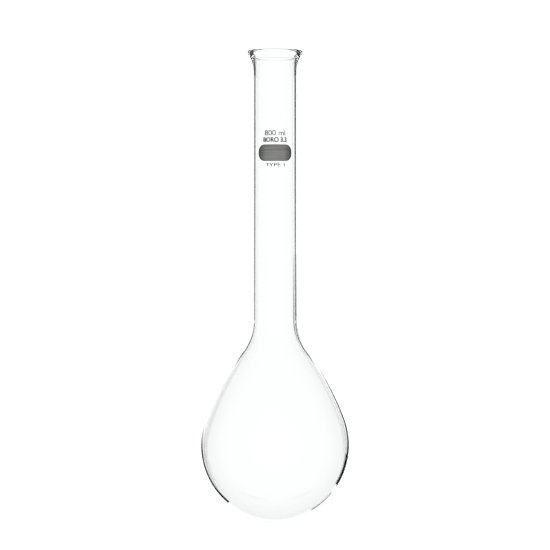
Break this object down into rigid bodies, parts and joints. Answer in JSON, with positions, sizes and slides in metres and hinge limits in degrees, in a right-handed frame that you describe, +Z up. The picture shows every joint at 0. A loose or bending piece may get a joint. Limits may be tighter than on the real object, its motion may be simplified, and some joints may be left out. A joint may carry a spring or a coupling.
{
  "type": "round-bottomed digestion flask",
  "caption": "Long-neck round-bottomed digestion flask in clear borosilicate glass, with a pear-shaped bulb, a flared mouth with a rounded lip and a fired enamel marking spot.",
  "frame": {"origin": "lowest point of the round bottom, on the flask's axis", "axes": "+Z up the flask's axis towards the mouth, -Y towards the front, where the print is, +X to the right of the print"},
  "size_m": [0.115, 0.115, 0.365],
  "materials": {
    "borosilicate_glass": "clear, smooth, fire-polished",
    "fired_enamel": "dark grey ceramic enamel, printed and fired, satin"
  },
  "bodies": {
    "root": {"bulb": "borosilicate_glass", "neck_tube": "borosilicate_glass", "tooled_mouth": "borosilicate_glass", "marking_spot": "fired_enamel", "capacity_legend": "fired_enamel", "glass_legend": "fired_enamel", "type_legend": "fired_enamel"}
  },
  "joints": []
}
